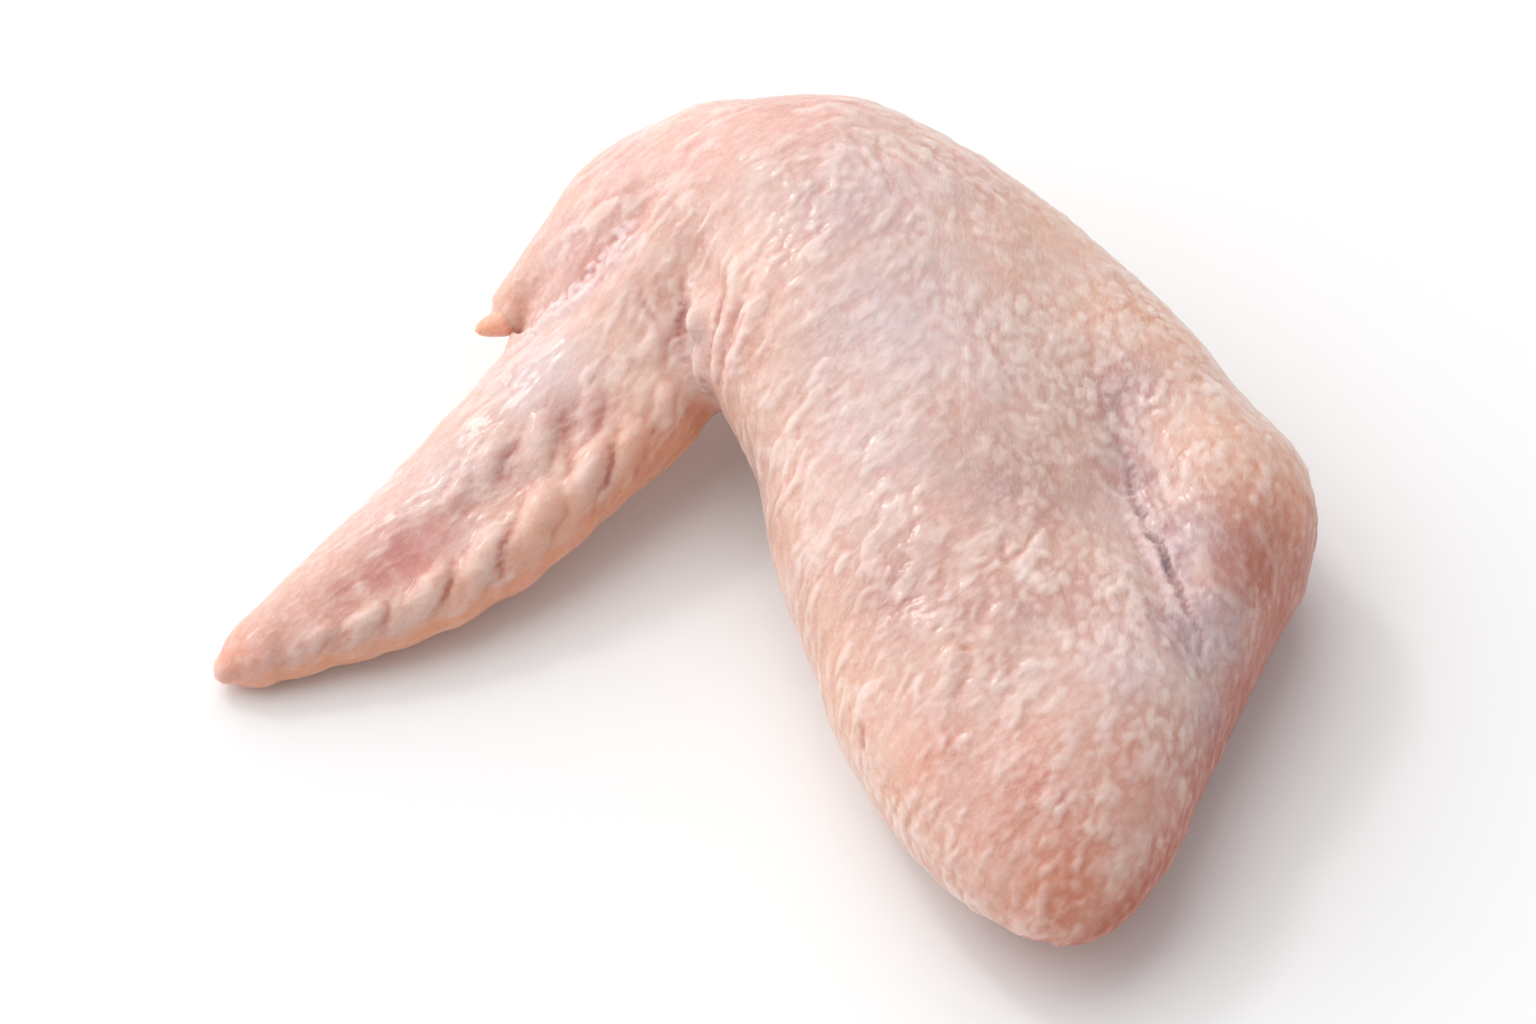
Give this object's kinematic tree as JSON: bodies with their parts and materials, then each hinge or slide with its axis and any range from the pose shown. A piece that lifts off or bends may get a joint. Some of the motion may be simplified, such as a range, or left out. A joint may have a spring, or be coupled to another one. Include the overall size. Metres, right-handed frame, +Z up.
{
  "type": "raw chicken wing",
  "caption": "Whole raw chicken wing with its skin on, folded at elbow and wrist and lying with its outer side up.",
  "frame": {"origin": "middle of the base of the bounding box, on the surface that the wing lies on", "axes": "+X runs from the wing's tip toward the shoulder, -Y points to the elbow and +Z is up"},
  "size_m": [0.1178, 0.105, 0.0313],
  "materials": {
    "skin": "moist, finely wrinkled raw skin"
  },
  "bodies": {
    "root": {"wing": "skin"}
  },
  "joints": []
}
